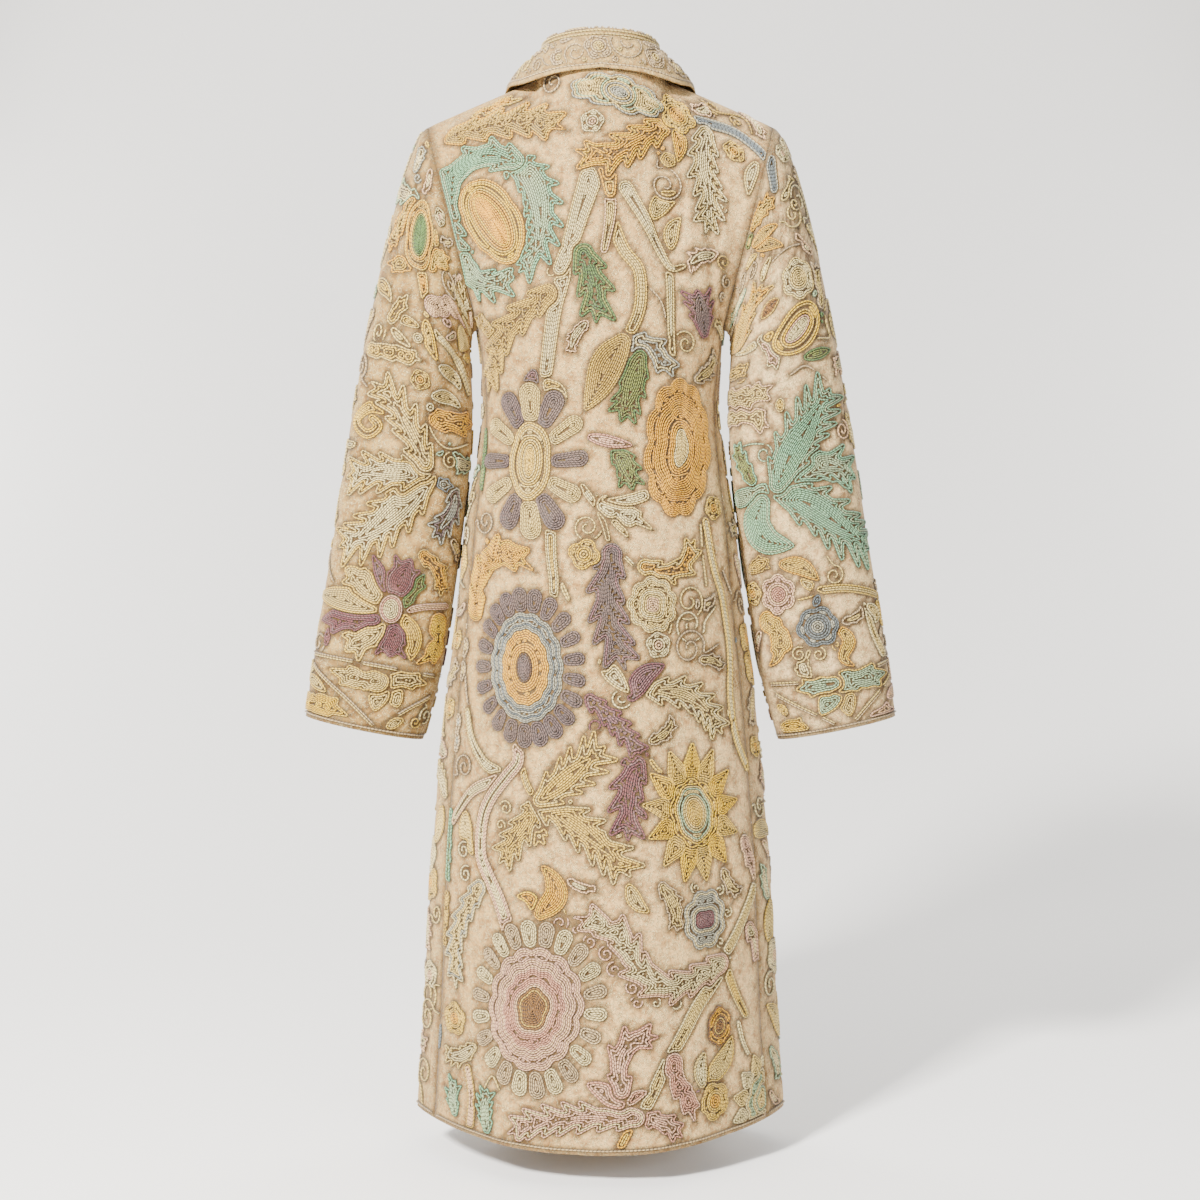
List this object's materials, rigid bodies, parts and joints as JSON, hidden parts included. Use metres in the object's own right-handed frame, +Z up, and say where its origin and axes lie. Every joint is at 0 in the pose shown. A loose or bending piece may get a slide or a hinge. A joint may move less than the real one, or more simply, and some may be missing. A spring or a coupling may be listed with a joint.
{
  "type": "coat",
  "caption": "Long fitted coat of embroidered cotton, worn form with no wearer, with a turned-down collar, long sleeves and an open front.",
  "frame": {"origin": "midway between the two neck points, near the height of the shoulder seams, where a wearer's shoulders carry the coat", "axes": "+Z up, the front faces -Y and the back +Y, the wearer's left is +X"},
  "size_m": [0.633, 0.2861, 1.1393],
  "materials": {
    "back_cloth": "matte embroidered cotton",
    "front_left_cloth": "matte embroidered cotton",
    "front_right_cloth": "matte embroidered cotton",
    "sleeve_left_cloth": "matte embroidered cotton",
    "sleeve_right_cloth": "matte embroidered cotton",
    "collar_cloth": "matte embroidered cotton"
  },
  "bodies": {
    "root": {"back": "back_cloth", "front_left": "front_left_cloth", "front_right": "front_right_cloth", "sleeve_left": "sleeve_left_cloth", "sleeve_right": "sleeve_right_cloth", "collar": "collar_cloth"}
  },
  "joints": []
}
